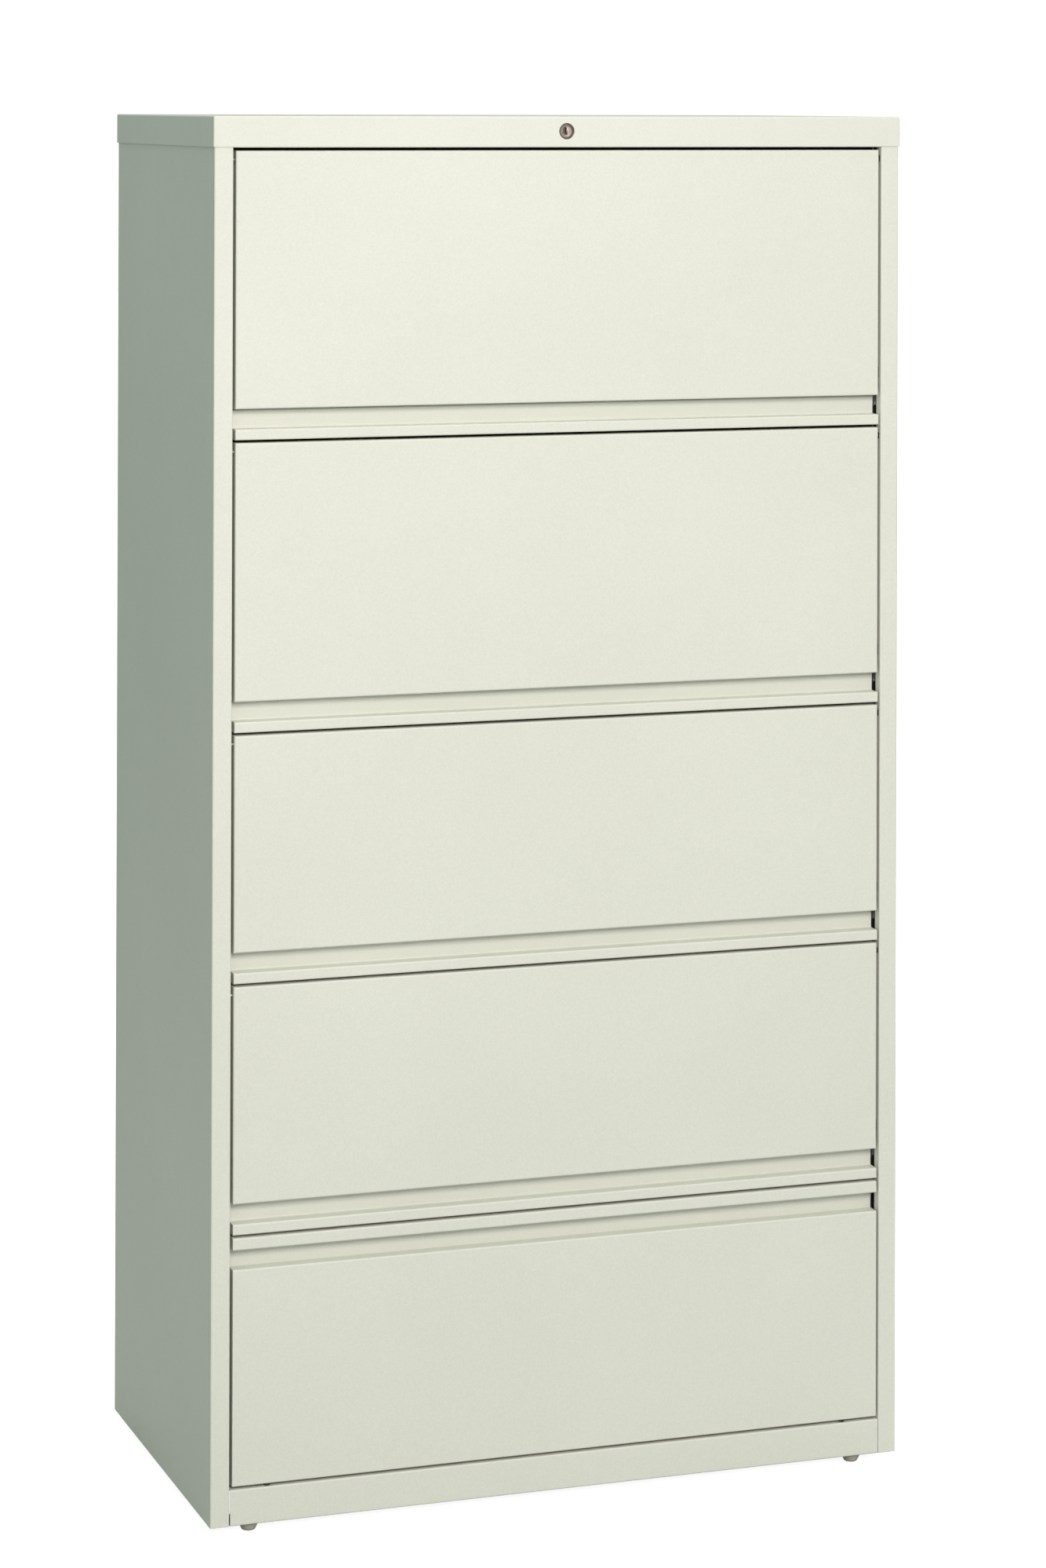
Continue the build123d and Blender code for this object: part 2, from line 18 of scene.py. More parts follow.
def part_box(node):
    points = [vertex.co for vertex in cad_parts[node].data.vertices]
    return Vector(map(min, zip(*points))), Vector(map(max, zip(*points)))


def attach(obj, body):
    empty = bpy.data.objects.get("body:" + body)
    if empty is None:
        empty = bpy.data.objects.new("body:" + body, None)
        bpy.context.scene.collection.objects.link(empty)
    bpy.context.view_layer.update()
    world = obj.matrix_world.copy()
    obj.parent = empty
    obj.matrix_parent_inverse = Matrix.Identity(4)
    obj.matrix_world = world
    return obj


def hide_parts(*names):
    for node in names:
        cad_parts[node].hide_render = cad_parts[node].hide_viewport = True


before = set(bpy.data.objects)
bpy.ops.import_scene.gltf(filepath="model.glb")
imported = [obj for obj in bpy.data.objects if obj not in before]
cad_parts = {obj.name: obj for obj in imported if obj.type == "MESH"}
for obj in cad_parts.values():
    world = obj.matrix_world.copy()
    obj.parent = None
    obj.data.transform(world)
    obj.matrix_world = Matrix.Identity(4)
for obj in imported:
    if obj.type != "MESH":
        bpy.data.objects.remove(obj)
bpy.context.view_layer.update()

log = logging.getLogger("cabinet")

MM = 0.001
Colour = tuple[float, float, float]
Place = tuple[float, float, float]


# ------------------------------------------------------------------ bench tools
class Along(Enum):
    """The axis that a round part lies along, as the turn that brings it there."""

    Y = (math.pi / 2, 0.0, 0.0)
    Z = (0.0, 0.0, 0.0)


def settle(piece: bpy.types.Object) -> None:
    """Moves a piece's place, turn and scale into its mesh.

    Args:
        piece: The object, which ends up at the origin.
    """
    bpy.ops.object.select_all(action="DESELECT")
    piece.select_set(True)
    bpy.context.view_layer.objects.active = piece
    bpy.ops.object.transform_apply(location=True, rotation=True, scale=True)


def add_block(name: str, low: Place, high: Place) -> bpy.types.Object:
    """Adds a block between two corners.

    Args:
        name: The piece's name.
        low: Its lowest corner, in metres.
        high: Its highest corner, in metres.

    Returns:
        The block, with its place in its mesh.
    """
    bpy.ops.object.select_all(action="DESELECT")
    centre = [(a + b) / 2 for a, b in zip(low, high)]
    bpy.ops.mesh.primitive_cube_add(size=1.0, location=centre)
    piece = bpy.context.object
    piece.name = name
    piece.scale = [b - a for a, b in zip(low, high)]
    settle(piece)
    return piece


def add_round(
    name: str, centre: Place, radius: float, length: float, along: Along = Along.Z, sides: int = 48
) -> bpy.types.Object:
    """Adds a round or many-sided bar.

    Args:
        name: The piece's name.
        centre: The middle of the bar, in metres.
        radius: Its radius, in metres.
        length: Its length, in metres.
        along: The axis that it lies along.
        sides: How many sides it has.

    Returns:
        The bar, with its place in its mesh.
    """
    bpy.ops.object.select_all(action="DESELECT")
    bpy.ops.mesh.primitive_cylinder_add(
        vertices=sides, radius=radius, depth=length, location=centre, rotation=along.value
    )
    piece = bpy.context.object
    piece.name = name
    settle(piece)
    return piece


def pick_faces(piece: bpy.types.Object, wanted: Callable[[bpy.types.MeshPolygon], bool]) -> None:
    """Opens a piece for editing with only some of its faces selected.

    Args:
        piece: The piece to edit.
        wanted: Says of each face whether it is selected.
    """
    bpy.ops.object.select_all(action="DESELECT")
    bpy.context.view_layer.objects.active = piece
    piece.select_set(True)
    bpy.ops.object.mode_set(mode="EDIT")
    bpy.ops.mesh.select_mode(type="FACE")
    bpy.ops.mesh.select_all(action="DESELECT")
    bpy.ops.object.mode_set(mode="OBJECT")
    for face in piece.data.polygons:
        face.select = wanted(face)
    bpy.ops.object.mode_set(mode="EDIT")


def draw_out(step: Place, scale: Place = (1.0, 1.0, 1.0)) -> None:
    """Extrudes the selected faces by a step and scales their far end.

    Args:
        step: How far the faces move, in metres.
        scale: The factor along each axis for the new faces.
    """
    bpy.ops.mesh.extrude_region_move(TRANSFORM_OT_translate={"value": step})
    if scale != (1.0, 1.0, 1.0):
        bpy.ops.transform.resize(value=scale)


def finish_edit() -> None:
    """Turns all faces outwards and leaves edit mode."""
    bpy.ops.mesh.select_all(action="SELECT")
    bpy.ops.mesh.normals_make_consistent(inside=False)
    bpy.ops.object.mode_set(mode="OBJECT")


def ease(piece: bpy.types.Object, width: float, segments: int = 3) -> None:
    """Rounds a piece's sharp edges and applies the rounding.

    Args:
        piece: The piece to round.
        width: The bevel's width, in metres.
        segments: How many faces the rounding has.
    """
    bpy.ops.object.select_all(action="DESELECT")
    piece.select_set(True)
    bpy.context.view_layer.objects.active = piece
    bevel = piece.modifiers.new("eased edges", "BEVEL")
    bevel.width = width
    bevel.segments = segments
    bevel.limit_method = "ANGLE"
    bevel.angle_limit = math.radians(35)
    bpy.ops.object.modifier_apply(modifier=bevel.name)
    bpy.ops.object.shade_smooth_by_angle(angle=math.radians(40))


def cut(piece: bpy.types.Object, tool: bpy.types.Object) -> None:
    """Cuts one piece's shape out of another and removes the cutting tool.

    Args:
        piece: The piece that is cut.
        tool: The shape that is taken out of it.
    """
    bpy.ops.object.select_all(action="DESELECT")
    piece.select_set(True)
    bpy.context.view_layer.objects.active = piece
    boolean = piece.modifiers.new("cut", "BOOLEAN")
    boolean.operation = "DIFFERENCE"
    boolean.solver = "EXACT"
    boolean.object = tool
    bpy.ops.object.modifier_apply(modifier=boolean.name)
    bpy.data.objects.remove(tool)


def weld(name: str, parts: list[bpy.types.Object]) -> bpy.types.Object:
    """Joins parts into one piece.

    Args:
        name: The joined piece's name.
        parts: The objects that become one.

    Returns:
        The joined piece.
    """
    bpy.ops.object.select_all(action="DESELECT")
    for part in parts:
        part.select_set(True)
    bpy.context.view_layer.objects.active = parts[0]
    bpy.ops.object.join()
    piece = bpy.context.object
    piece.name = name
    return piece


def mirror_copy(piece: bpy.types.Object, name: str) -> bpy.types.Object:
    """Makes a piece's mirror image on the other side of the cabinet.

    Args:
        piece: The piece to copy, at the origin.
        name: The copy's name.

    Returns:
        The copy, with a mesh of its own.
    """
    twin = piece.copy()
    twin.data = piece.data.copy()
    twin.name = name
    bpy.context.collection.objects.link(twin)
    twin.scale.x = -1.0
    settle(twin)
    pick_faces(twin, lambda face: True)
    finish_edit()
    return twin


# --------------------------------------------------------------------- finishes
class Recipe:
    """The node graph of one material."""

    def __init__(self, name: str) -> None:
        """Starts a material with its shader.

        Args:
            name: The material's name.
        """
        self.material = bpy.data.materials.new(name)
        self.material.use_nodes = True
        self.tree = self.material.node_tree
        self.shader = self.tree.nodes["Principled BSDF"]
        self.place = self.tree.nodes.new("ShaderNodeTexCoord").outputs["Object"]

    def node(self, kind: str, **sockets: object) -> bpy.types.Node:
        """Adds a node and fills its sockets.

        Args:
            kind: The node's type.
            **sockets: A value, or another node's output, for each named input.

        Returns:
            The new node.
        """
        made = self.tree.nodes.new(kind)
        for label, value in sockets.items():
            socket = made.inputs[label.replace("_", " ")]
            if isinstance(value, bpy.types.NodeSocket):
                self.tree.links.new(value, socket)
            else:
                socket.default_value = value
        return made

    def noise(
        self, size: float, detail: float = 2.0, stretch: Place = (1.0, 1.0, 1.0)
    ) -> bpy.types.NodeSocket:
        """Adds a noise whose features have a real size.

        Args:
            size: The size of a feature, in metres.
            detail: How many finer layers it has.
            stretch: How much longer the features are along each axis.

        Returns:
            The noise's output, about 0.5 on average.
        """
        factors = tuple(1.0 / (size * s) for s in stretch)
        mapping = self.node("ShaderNodeMapping", Vector=self.place, Scale=factors)
        noise = self.node("ShaderNodeTexNoise", Vector=mapping.outputs["Vector"], Scale=1.0, Detail=detail)
        return noise.outputs["Fac"]

    def between(self, source: bpy.types.NodeSocket, low: float, high: float) -> bpy.types.NodeSocket:
        """Maps a noise onto a range.

        Args:
            source: A value about 0.5 on average.
            low: The result where the noise is low.
            high: The result where it is high.

        Returns:
            The mapped value.
        """
        spread = {"From_Min": 0.25, "From_Max": 0.75, "To_Min": low, "To_Max": high}
        return self.node("ShaderNodeMapRange", Value=source, **spread).outputs["Result"]

    def blend_colours(
        self, share: bpy.types.NodeSocket, first: Colour, second: Colour
    ) -> bpy.types.NodeSocket:
        """Mixes two colours.

        Args:
            share: How much of the second colour shows, from 0 to 1.
            first: The first colour.
            second: The second colour.

        Returns:
            The mixed colour.
        """
        mix = self.tree.nodes.new("ShaderNodeMix")
        mix.data_type = "RGBA"
        mix.inputs[6].default_value = (*first, 1.0)
        mix.inputs[7].default_value = (*second, 1.0)
        self.tree.links.new(share, mix.inputs[0])
        return mix.outputs[2]

    def shade(self, source: bpy.types.NodeSocket, factor: bpy.types.NodeSocket) -> bpy.types.NodeSocket:
        """Makes a colour lighter or darker.

        Args:
            source: The colour.
            factor: What it is multiplied by.

        Returns:
            The shaded colour.
        """
        scale = self.tree.nodes.new("ShaderNodeVectorMath")
        scale.operation = "SCALE"
        self.tree.links.new(source, scale.inputs[0])
        self.tree.links.new(factor, scale.inputs["Scale"])
        return scale.outputs["Vector"]

    def relief(self, height: bpy.types.NodeSocket, depth: float, strength: float = 1.0) -> None:
        """Adds a bump to the shader's normal.

        Args:
            height: The height, from 0 to 1.
            depth: What a height of 1 stands for, in metres.
            strength: How much of it shows.
        """
        bump = self.node("ShaderNodeBump", Height=height, Distance=depth, Strength=strength)
        previous = self.shader.inputs["Normal"]
        if previous.is_linked:
            self.tree.links.new(previous.links[0].from_socket, bump.inputs["Normal"])
        self.tree.links.new(bump.outputs["Normal"], previous)

    def colour(self, source: bpy.types.NodeSocket) -> None:
        """Gives the shader its colour."""
        self.tree.links.new(source, self.shader.inputs["Base Color"])

    def roughness(self, source: bpy.types.NodeSocket) -> None:
        """Gives the shader its roughness."""
        self.tree.links.new(source, self.shader.inputs["Roughness"])


def scaled(colour: Colour, factor: float) -> Colour:
    """The colour, lighter or darker by a factor."""
    return (colour[0] * factor, colour[1] * factor, colour[2] * factor)


@dataclass(frozen=True)
class PowderCoat:
    """Baked powder paint on sheet steel, with its fine orange peel."""

    name: str
    colour: Colour
    roughness: float = 0.42
    peel_size: float = 1.6 * MM
    peel_depth: float = 0.05 * MM
    cloud_size: float = 0.35
    cloudiness: float = 0.025
    speckle: float = 0.035
    film_size: float = 0.02
    wave_size: float = 0.18
    wave_depth: float = 0.25 * MM

    def make(self) -> bpy.types.Material:
        """Builds the paint.

        Returns:
            The material.
        """
        recipe = Recipe(self.name)
        clouds = recipe.between(recipe.noise(self.cloud_size, 3.0), 0.0, 1.0)
        light = scaled(self.colour, 1.0 + self.cloudiness)
        dark = scaled(self.colour, 1.0 - self.cloudiness)
        broad = recipe.blend_colours(clouds, dark, light)
        grain = recipe.noise(self.peel_size * 1.2, 1.0)
        recipe.colour(recipe.shade(broad, recipe.between(grain, 1.0 - self.speckle, 1.0 + self.speckle)))
        film = recipe.noise(self.film_size, 4.0)
        recipe.roughness(recipe.between(film, self.roughness - 0.05, self.roughness + 0.06))
        recipe.shader.inputs["Specular IOR Level"].default_value = 0.42
        recipe.relief(recipe.noise(self.wave_size, 1.0), self.wave_depth, 0.5)
        recipe.relief(recipe.noise(self.peel_size, 2.0), self.peel_depth)
        return recipe.material


@dataclass(frozen=True)
class ZincPlate:
    """Bright zinc on rolled steel, with its rolling streaks."""

    name: str
    colour: Colour = (0.56, 0.57, 0.58)
    roughness: float = 0.3
    streaks: Place = (1.0, 30.0, 1.0)

    def make(self) -> bpy.types.Material:
        """Builds the plating.

        Returns:
            The material.
        """
        recipe = Recipe(self.name)
        streak = recipe.noise(0.8 * MM, 3.0, self.streaks)
        blotch = recipe.between(recipe.noise(0.03, 3.0), 0.0, 1.0)
        recipe.colour(recipe.blend_colours(blotch, scaled(self.colour, 0.86), scaled(self.colour, 1.1)))
        recipe.roughness(recipe.between(streak, self.roughness - 0.08, self.roughness + 0.14))
        recipe.shader.inputs["Metallic"].default_value = 1.0
        recipe.relief(streak, 0.01 * MM)
        return recipe.material


@dataclass(frozen=True)
class SatinNickel:
    """Warm satin nickel plate with fine turning marks."""

    name: str
    colour: Colour = (0.4, 0.335, 0.3)
    roughness: float = 0.56

    def make(self) -> bpy.types.Material:
        """Builds the plating.

        Returns:
            The material.
        """
        recipe = Recipe(self.name)
        grain = recipe.noise(0.3 * MM, 3.0)
        tarnish = recipe.between(recipe.noise(4 * MM, 3.0), 0.0, 1.0)
        recipe.colour(recipe.blend_colours(tarnish, scaled(self.colour, 0.8), scaled(self.colour, 1.05)))
        recipe.roughness(recipe.between(grain, self.roughness - 0.07, self.roughness + 0.12))
        recipe.shader.inputs["Metallic"].default_value = 1.0
        recipe.relief(grain, 0.008 * MM)
        return recipe.material


@dataclass(frozen=True)
class MouldedPlastic:
    """Injection-moulded plastic with a fine spark-eroded texture."""

    name: str
    colour: Colour
    roughness: float = 0.5
    grain_size: float = 0.5 * MM
    grain_depth: float = 0.02 * MM

    def make(self) -> bpy.types.Material:
        """Builds the plastic.

        Returns:
            The material.
        """
        recipe = Recipe(self.name)
        flow = recipe.between(recipe.noise(8 * MM, 2.0), 0.0, 1.0)
        recipe.colour(recipe.blend_colours(flow, scaled(self.colour, 0.88), scaled(self.colour, 1.08)))
        grain = recipe.noise(self.grain_size, 3.0)
        recipe.roughness(recipe.between(grain, self.roughness - 0.06, self.roughness + 0.1))
        recipe.relief(grain, self.grain_depth)
        return recipe.material


@dataclass(frozen=True)
class CastBallast:
    """Black paint over a rough cast bar."""

    name: str
    colour: Colour = (0.03, 0.03, 0.032)

    def make(self) -> bpy.types.Material:
        """Builds the casting.

        Returns:
            The material.
        """
        recipe = Recipe(self.name)
        skin = recipe.noise(3 * MM, 5.0)
        rust = recipe.between(recipe.noise(0.06, 4.0), -0.8, 0.6)
        recipe.colour(recipe.blend_colours(rust, self.colour, (0.09, 0.045, 0.025)))
        recipe.roughness(recipe.between(skin, 0.55, 0.85))
        recipe.relief(skin, 0.3 * MM)
        return recipe.material


@dataclass
class Finishes:
    """Every material of the cabinet, made once."""

    def __post_init__(self) -> None:
        """Makes the materials."""
        putty = (0.71, 0.708, 0.638)
        self.case = PowderCoat("case_powder_coat", putty).make()
        self.front = PowderCoat("front_powder_coat", putty, roughness=0.4).make()
        self.zinc = ZincPlate("zinc_plated_steel").make()
        self.upright_zinc = ZincPlate("zinc_plated_upright", streaks=(1.0, 1.0, 30.0)).make()
        self.rod = ZincPlate("bright_drawn_rod", (0.62, 0.62, 0.63), 0.2, (30.0, 1.0, 1.0)).make()
        self.nickel = SatinNickel("satin_nickel").make()
        # The lock housing's nickel is much darker than the plug's. This is painted shade for the dark ring
        # that the hole casts round the key plug.
        self.painted_shade_nickel = SatinNickel("painted_shade_nickel", (0.16, 0.135, 0.12), 0.5).make()
        self.nylon = MouldedPlastic("natural_nylon", (0.72, 0.7, 0.63), 0.4).make()
        self.black_plastic = MouldedPlastic("black_acetal", (0.012, 0.012, 0.013), 0.42).make()
        self.foot_plastic = MouldedPlastic("beige_foot_plastic", (0.5, 0.48, 0.4), 0.55).make()
        self.rubber = MouldedPlastic("grey_rubber", (0.03, 0.03, 0.03), 0.75, 1.2 * MM).make()
        self.ballast = CastBallast("black_cast_ballast").make()


def dress(node: str, material: bpy.types.Material) -> None:
    """Gives a CAD node its finish.

    Args:
        node: The node's name.
        material: The finish that takes the place of its plain one.
    """
    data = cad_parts[node].data
    data.materials.clear()
    data.materials.append(material)
    log.info("dressed %s in %s", node, material.name)


def mount(piece: bpy.types.Object, material: bpy.types.Material, body: str) -> None:
    """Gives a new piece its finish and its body.

    Args:
        piece: The finished piece.
        material: Its finish.
        body: The CAD body that it moves with.
    """
    piece.data.materials.clear()
    piece.data.materials.append(material)
    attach(piece, body)
    log.info("built %s on %s, %d faces", piece.name, body, len(piece.data.polygons))


# ----------------------------------------------------------------- sub-assemblies
@dataclass
class Case:
    """The fixed shell: sides, back, cap, rails, base and uprights."""

    finishes: Finishes
    bumper_height: float = 3.0 * MM
    bumper_radius: float = 4.0 * MM
    bumper_inset: float = 48.0 * MM
    bumper_setback: float = 7.0 * MM
    bumper_rim: float = 1.2 * MM
    bumper_dish: float = 0.8 * MM

    def dress_shell(self) -> None:
        """Paints the sheet metal and plates the inner structure."""
        painted = ["left_side_panel", "right_side_panel", "back_panel", "top_cap"]
        painted += ["top_front_rail", "base_front_rail", "base_rear_rail", "bottom_pan"]
        for node in painted:
            dress(node, self.finishes.case)
        dress("uprights", self.finishes.upright_zinc)
        for node in ("case_screws", "glide_nuts"):
            dress(node, self.finishes.zinc)
        dress("counterweight", self.finishes.ballast)

    def build_bumpers(self) -> None:
        """Adds the pair of rubber bumpers between the base rail and the drawer front."""
        rail_low, rail_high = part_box("base_front_rail")
        centre_z = rail_high[2] + self.bumper_height / 2
        centre_y = rail_low[1] + self.bumper_setback
        for side, edge in (("left", rail_low[0]), ("right", rail_high[0])):
            x = edge + math.copysign(self.bumper_inset, -edge)
            name = f"base_bumper_{side}"
            bumper = add_round(name, (x, centre_y, centre_z), self.bumper_radius, self.bumper_height)
            pick_faces(bumper, lambda face: face.normal.z > 0.9)
            bpy.ops.mesh.inset(thickness=self.bumper_rim)
            draw_out((0.0, 0.0, -self.bumper_dish), (0.8, 0.8, 1.0))
            finish_edit()
            ease(bumper, 0.4 * MM)
            mount(bumper, self.finishes.rubber, "case")

    def build(self) -> None:
        """Dresses the shell and adds its small parts."""
        self.dress_shell()
        self.build_bumpers()


@dataclass
class SlidePair:
    """A pair of three-part slides, with a stop and a hook plate in front of each outer member."""

    finishes: Finishes
    name: str
    inner: float = 429.9 * MM
    outer: float = 437.4 * MM
    stop_depth: float = 3.3 * MM
    stop_height: float = 19.6 * MM
    stop_lift: float = 1.5 * MM
    stop_rim: float = 0.7 * MM
    stop_sink: float = 0.8 * MM
    hook_inner: float = 430.1 * MM
    hook_outer: float = 435.6 * MM
    hook_sheet: float = 1.2 * MM
    hook_foot: float = 21.4 * MM
    hook_head: float = 0.4 * MM
    hook_rim: float = 1.3 * MM
    hook_sink: float = 0.35 * MM
    front_gap: float = 0.1 * MM

    def dress_members(self) -> None:
        """Plates the three members."""
        for member in ("outer", "middle", "inner"):
            dress(f"{self.name}_slide_{member}", self.finishes.zinc)

    def build_stops(self) -> None:
        """Adds a plastic stop with a sunk face in front of each outer member."""
        low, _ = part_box(f"{self.name}_slide_outer")
        front, bottom = low[1] - self.stop_depth, low[2] + self.stop_lift
        corner_high = (self.outer, low[1] - self.front_gap, bottom + self.stop_height)
        stop = add_block(f"{self.name}_stop_right", (self.inner, front, bottom), corner_high)
        pick_faces(stop, lambda face: face.normal.y < -0.9)
        bpy.ops.mesh.inset(thickness=self.stop_rim)
        draw_out((0.0, self.stop_sink, 0.0))
        finish_edit()
        ease(stop, 0.35 * MM)
        mirror = mirror_copy(stop, f"{self.name}_stop_left")
        for piece in (stop, mirror):
            mount(piece, self.finishes.black_plastic, "case")

    def build_hooks(self) -> None:
        """Adds the plated hook plate above each stop, with its pressed dimple."""
        low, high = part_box(f"{self.name}_slide_outer")
        back = low[1] - self.front_gap
        corner_low = (self.hook_inner, back - self.hook_sheet, low[2] + self.hook_foot)
        corner_high = (self.hook_outer, back, high[2] - self.hook_head)
        hook = add_block(f"{self.name}_hook_right", corner_low, corner_high)
        pick_faces(hook, lambda face: face.normal.y < -0.9)
        bpy.ops.mesh.inset(thickness=self.hook_rim)
        draw_out((0.0, self.hook_sink, 0.0), (0.8, 1.0, 0.9))
        finish_edit()
        ease(hook, 0.2 * MM)
        mirror = mirror_copy(hook, f"{self.name}_hook_left")
        for piece in (hook, mirror):
            mount(piece, self.finishes.zinc, "case")

    def build(self) -> None:
        """Dresses the members and adds the stops and the hook plates."""
        self.dress_members()
        self.build_stops()
        self.build_hooks()


@dataclass
class ShelfBay:
    """One upper opening: its receding door, door gear and roll-out shelf."""

    finishes: Finishes
    number: int

    def build(self) -> None:
        """Dresses the door, its gear and the shelf."""
        door = f"door_{self.number}"
        dress(door, self.finishes.front)
        dress(f"{door}_pivot_rod", self.finishes.rod)
        dress(f"{door}_rollers", self.finishes.nylon)
        dress(f"{door}_tracks", self.finishes.zinc)
        dress(f"shelf_{self.number}_tray", self.finishes.front)
        SlidePair(self.finishes, f"shelf_{self.number}").build()


@dataclass
class Drawer:
    """The fixed-front drawer at the bottom."""

    finishes: Finishes

    def build(self) -> None:
        """Dresses the drawer and its hanging-file rails."""
        for node in ("drawer_front", "drawer_body"):
            dress(node, self.finishes.front)
        dress("drawer_fittings", self.finishes.zinc)
        SlidePair(self.finishes, "drawer").build()


@dataclass
class CamLock:
    """The key plug, its housing and the linkage behind the cap."""

    finishes: Finishes
    rim: float = 0.9 * MM
    dish: float = 0.35 * MM
    keyway_width: float = 1.5 * MM
    keyway_height: float = 8.6 * MM
    keyway_depth: float = 9.0 * MM
    ward_left: float = 1.6 * MM
    ward_right: float = 0.2 * MM
    ward_below: float = 0.8 * MM
    ward_above: float = 0.7 * MM
    tool_overrun: float = 1.0 * MM

    def build_plug(self) -> None:
        """Turns the key plug with its dished face and cuts a warded keyway into it."""
        low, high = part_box("lock_plug")
        x, z = (low[0] + high[0]) / 2, (low[2] + high[2]) / 2
        face, radius = low[1], (high[0] - low[0]) / 2
        centre = (x, (low[1] + high[1]) / 2, z)
        plug = add_round("key_plug", centre, radius, high[1] - low[1], Along.Y, 64)
        pick_faces(plug, lambda side: side.normal.y < -0.9)
        bpy.ops.mesh.inset(thickness=self.rim)
        draw_out((0.0, self.dish, 0.0), (0.95, 1.0, 0.95))
        finish_edit()
        ease(plug, 0.2 * MM)
        slot_low = (x - self.keyway_width / 2, face - self.tool_overrun, z - self.keyway_height / 2)
        slot_high = (x + self.keyway_width / 2, face + self.keyway_depth, z + self.keyway_height / 2)
        slot = add_block("keyway_tool", slot_low, slot_high)
        cut(plug, slot)
        ward_low = (x - self.ward_left, face - self.tool_overrun, z - self.ward_below)
        ward_high = (x + self.ward_right, face + self.keyway_depth, z + self.ward_above)
        ward = add_block("ward_tool", ward_low, ward_high)
        cut(plug, ward)
        mount(plug, self.finishes.nickel, "lock_plug")
        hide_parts("lock_plug")

    def build(self) -> None:
        """Builds the plug and dresses the rest of the lock."""
        self.build_plug()
        # The housing takes the darkened nickel, which paints the shadow ring round the plug.
        dress("lock_housing", self.finishes.painted_shade_nickel)
        for node in ("lock_cam", "lock_link"):
            dress(node, self.finishes.zinc)
        for node in ("lock_bar", "lock_bar_arms"):
            dress(node, self.finishes.upright_zinc)


@dataclass
class LevellingGlide:
    """A screw foot: a tapered pad, a spanner hexagon and a threaded stem."""

    finishes: Finishes
    corner: str
    rim_radius: float = 12.0 * MM
    waist_radius: float = 8.4 * MM
    sole_radius: float = 7.0 * MM
    sole_height: float = 0.8 * MM
    sole_rim: float = 1.5 * MM
    rim_low: float = 8.0 * MM
    rim_high: float = 10.2 * MM
    hexagon_across: float = 13.0 * MM
    hexagon_top: float = 11.5 * MM
    stem_top: float = 35.5 * MM
    core_radius: float = 4.3 * MM
    thread_radius: float = 4.98 * MM
    pitch: float = 1.5 * MM
    thread_root: float = 0.15 * MM
    thread_margin: float = 1.2 * MM

    def build_pad(self, x: float, y: float) -> bpy.types.Object:
        """Shapes the pad from its rim down to its dished sole.

        Args:
            x: The glide's place across the width.
            y: The glide's place in depth.

        Returns:
            The pad.
        """
        middle = (self.rim_low + self.rim_high) / 2
        height = self.rim_high - self.rim_low
        pad = add_round("pad", (x, y, middle), self.rim_radius, height, Along.Z, 48)
        pick_faces(pad, lambda face: face.normal.z < -0.9)
        taper = self.waist_radius / self.rim_radius
        draw_out((0.0, 0.0, self.sole_height - self.rim_low), (taper, taper, 1.0))
        sole = self.sole_radius / self.waist_radius
        draw_out((0.0, 0.0, -self.sole_height), (sole, sole, 1.0))
        bpy.ops.mesh.inset(thickness=self.sole_rim)
        draw_out((0.0, 0.0, self.sole_height), (0.9, 0.9, 1.0))
        finish_edit()
        ease(pad, 0.3 * MM)
        return pad

    def build_stem(self, x: float, y: float) -> bpy.types.Object:
        """Makes the hexagon and the stem with its thread.

        Args:
            x: The glide's place across the width.
            y: The glide's place in depth.

        Returns:
            The stem.
        """
        across = self.hexagon_across / 2 / math.cos(math.pi / 6)
        thickness = self.hexagon_top - self.rim_high
        hexagon = add_round("hexagon", (x, y, self.rim_high + thickness / 2), across, thickness, Along.Z, 6)
        ease(hexagon, 0.25 * MM, 2)
        length = self.stem_top - self.hexagon_top
        core = add_round("core", (x, y, self.hexagon_top + length / 2), self.core_radius, length, Along.Z, 32)
        bpy.ops.object.select_all(action="DESELECT")
        tooth = self.thread_radius - self.core_radius + self.thread_root
        bpy.ops.mesh.primitive_circle_add(
            vertices=4,
            radius=tooth,
            fill_type="NOTHING",
            location=(self.core_radius - self.thread_root, 0.0, self.hexagon_top + self.thread_margin),
            rotation=(math.pi / 2, 0.0, 0.0),
        )
        thread = bpy.context.object
        settle(thread)
        turns = math.floor((length - 2 * self.thread_margin) / self.pitch)
        screw = thread.modifiers.new("thread", "SCREW")
        screw.angle = 2 * math.pi
        screw.iterations = turns
        screw.screw_offset = self.pitch
        screw.steps = 20
        screw.render_steps = 20
        bpy.ops.object.modifier_apply(modifier=screw.name)
        bpy.ops.object.mode_set(mode="EDIT")
        bpy.ops.mesh.select_mode(type="EDGE")
        bpy.ops.mesh.select_all(action="SELECT")
        bpy.ops.mesh.remove_doubles(threshold=0.001 * MM)
        bpy.ops.mesh.select_all(action="DESELECT")
        bpy.ops.mesh.select_non_manifold()
        bpy.ops.mesh.fill_holes(sides=8)
        finish_edit()
        thread.location = (x, y, 0.0)
        settle(thread)
        return weld("stem", [core, hexagon, thread])

    def build(self) -> None:
        """Builds the glide in place of its plain CAD solid."""
        node = f"glide_{self.corner}"
        low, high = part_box(node)
        x, y = (low[0] + high[0]) / 2, (low[1] + high[1]) / 2
        pad = self.build_pad(x, y)
        pad.name = f"{node}_foot"
        mount(pad, self.finishes.foot_plastic, node)
        stem = self.build_stem(x, y)
        stem.name = f"{node}_stem"
        mount(stem, self.finishes.zinc, node)
        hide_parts(node)


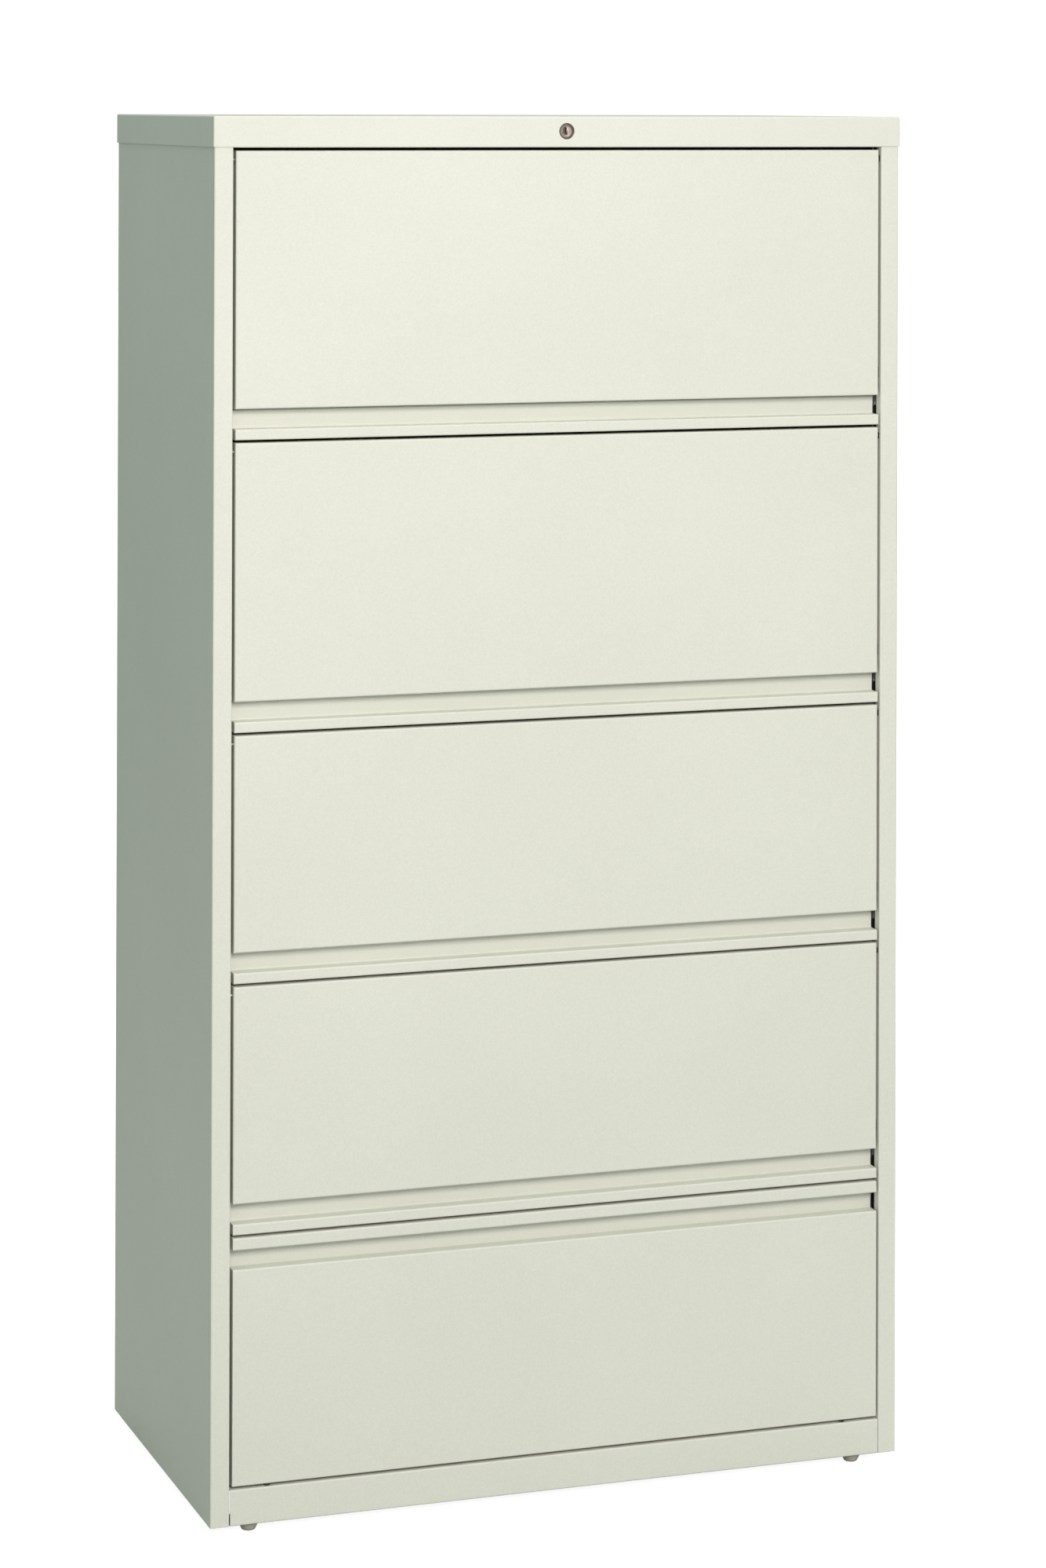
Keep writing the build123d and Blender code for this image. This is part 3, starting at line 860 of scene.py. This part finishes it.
# ------------------------------------------------------------------------ studio
@dataclass(frozen=True)
class SoftLight:
    """A square soft light, its place and what it faces."""

    name: str
    place: Place
    target: Place
    size: float
    power: float
    colour: Colour

    def hang(self) -> None:
        """Hangs the light and turns it to its target."""
        bpy.ops.object.light_add(type="AREA", location=self.place)
        lamp = bpy.context.object
        lamp.name = self.name
        lamp.data.shape = "SQUARE"
        lamp.data.size = self.size
        lamp.data.energy = self.power
        lamp.data.color = self.colour
        aim = Vector(self.target) - Vector(self.place)
        lamp.rotation_euler = aim.to_track_quat("-Z", "Y").to_euler()


KEY_LIGHT = SoftLight("key_light", (-0.5, -4.5, 2.9), (0.0, -0.2, 1.25), 1.6, 156.0, (1.0, 0.94, 0.925))
TOP_LIGHT = SoftLight("top_light", (0.0, -0.6, 4.6), (0.0, 0.0, 0.0), 3.0, 32.0, (1.0, 0.93, 0.93))
FILL_LIGHT = SoftLight("fill_light", (3.6, 3.4, 2.4), (0.0, 0.0, 0.8), 2.0, 90.0, (0.96, 0.98, 1.0))


@dataclass
class Studio:
    """The pale floor, the soft lights and the camera."""

    floor_size: float = 60.0
    floor_colour: Colour = (0.5, 0.5, 0.5)
    paper_glow: float = 0.9
    surround: Colour = (0.83, 1.0, 0.905)
    surround_strength: float = 0.485
    backdrop_white: float = 1.05
    camera_place: Place = (-1.7765, -4.91823, 1.745)
    camera_turn: Place = (90.18118, -0.17351, -18.38589)
    lens: float = 92.0401
    lens_slide: tuple[float, float] = (0.030829, -0.174078)

    def lay_floor(self) -> None:
        """Lays the pale floor, which glows a little so that it reads as white paper."""
        bpy.ops.object.select_all(action="DESELECT")
        bpy.ops.mesh.primitive_plane_add(size=self.floor_size, location=(0.0, 0.0, 0.0))
        floor = bpy.context.object
        floor.name = "studio_floor"
        recipe = Recipe("pale_floor")
        recipe.shader.inputs["Base Color"].default_value = (*self.floor_colour, 1.0)
        recipe.shader.inputs["Roughness"].default_value = 0.9
        recipe.shader.inputs["Emission Color"].default_value = (1.0, 1.0, 1.0, 1.0)
        ray = recipe.node("ShaderNodeLightPath")
        glow = recipe.node("ShaderNodeMapRange", Value=ray.outputs["Is Camera Ray"], To_Max=self.paper_glow)
        recipe.tree.links.new(glow.outputs["Result"], recipe.shader.inputs["Emission Strength"])
        floor.data.materials.append(recipe.material)

    def hang_backdrop(self) -> None:
        """Makes the surround a dim soft light that looks white from the camera."""
        world = bpy.data.worlds.new("studio")
        world.use_nodes = True
        tree = world.node_tree
        ambient = tree.nodes["Background"]
        ambient.inputs["Color"].default_value = (*self.surround, 1.0)
        ambient.inputs["Strength"].default_value = self.surround_strength
        paper = tree.nodes.new("ShaderNodeBackground")
        paper.inputs["Color"].default_value = (1.0, 1.0, 1.0, 1.0)
        paper.inputs["Strength"].default_value = self.backdrop_white
        ray = tree.nodes.new("ShaderNodeLightPath")
        mix = tree.nodes.new("ShaderNodeMixShader")
        tree.links.new(ray.outputs["Is Camera Ray"], mix.inputs[0])
        tree.links.new(ambient.outputs[0], mix.inputs[1])
        tree.links.new(paper.outputs[0], mix.inputs[2])
        tree.links.new(mix.outputs[0], tree.nodes["World Output"].inputs["Surface"])
        bpy.context.scene.world = world

    def light(self) -> None:
        """Sets the surround, the key beside the camera, the overhead light and a fill behind."""
        self.hang_backdrop()
        for lamp in (KEY_LIGHT, TOP_LIGHT, FILL_LIGHT):
            lamp.hang()
        bpy.context.scene.view_settings.view_transform = "Standard"

    def place_camera(self) -> None:
        """Places the camera a little above the cap, to the left of the front, with its lens slid down.

        The slide is a shear on the camera's stand and not the camera's own shift, so a camera that is taken
        off its stand looks straight ahead.
        """
        bpy.ops.object.empty_add(type="PLAIN_AXES", location=(0.0, 0.0, 0.0))
        stand = bpy.context.object
        stand.name = "camera_stand"
        bpy.ops.object.camera_add(location=self.camera_place)
        camera = bpy.context.object
        camera.name = "studio_camera"
        camera.rotation_euler = [math.radians(angle) for angle in self.camera_turn]
        camera.data.sensor_fit = "AUTO"
        camera.data.sensor_width = 36.0
        camera.data.clip_end = 200.0
        slide = Matrix.Identity(4)
        slide[0][2], slide[1][2] = -self.lens_slide[0], -self.lens_slide[1]
        camera.data.lens = self.lens * slide.col[2].to_3d().length
        camera.parent = stand
        aim = camera.matrix_basis.copy()
        camera.matrix_parent_inverse = aim @ slide @ aim.inverted()
        bpy.context.scene.camera = camera

    def build(self) -> None:
        """Sets up the whole studio."""
        self.lay_floor()
        self.light()
        self.place_camera()


def main() -> None:
    """Builds the cabinet's looks and the studio around it."""
    logging.basicConfig(level=logging.INFO, format="%(name)s: %(message)s")
    finishes = Finishes()
    Case(finishes).build()
    for number in (1, 2, 3, 4):
        ShelfBay(finishes, number).build()
    Drawer(finishes).build()
    CamLock(finishes).build()
    for corner in ("front_left", "front_right", "rear_left", "rear_right"):
        LevellingGlide(finishes, corner).build()
    Studio().build()


if __name__ == "__main__":
    main()
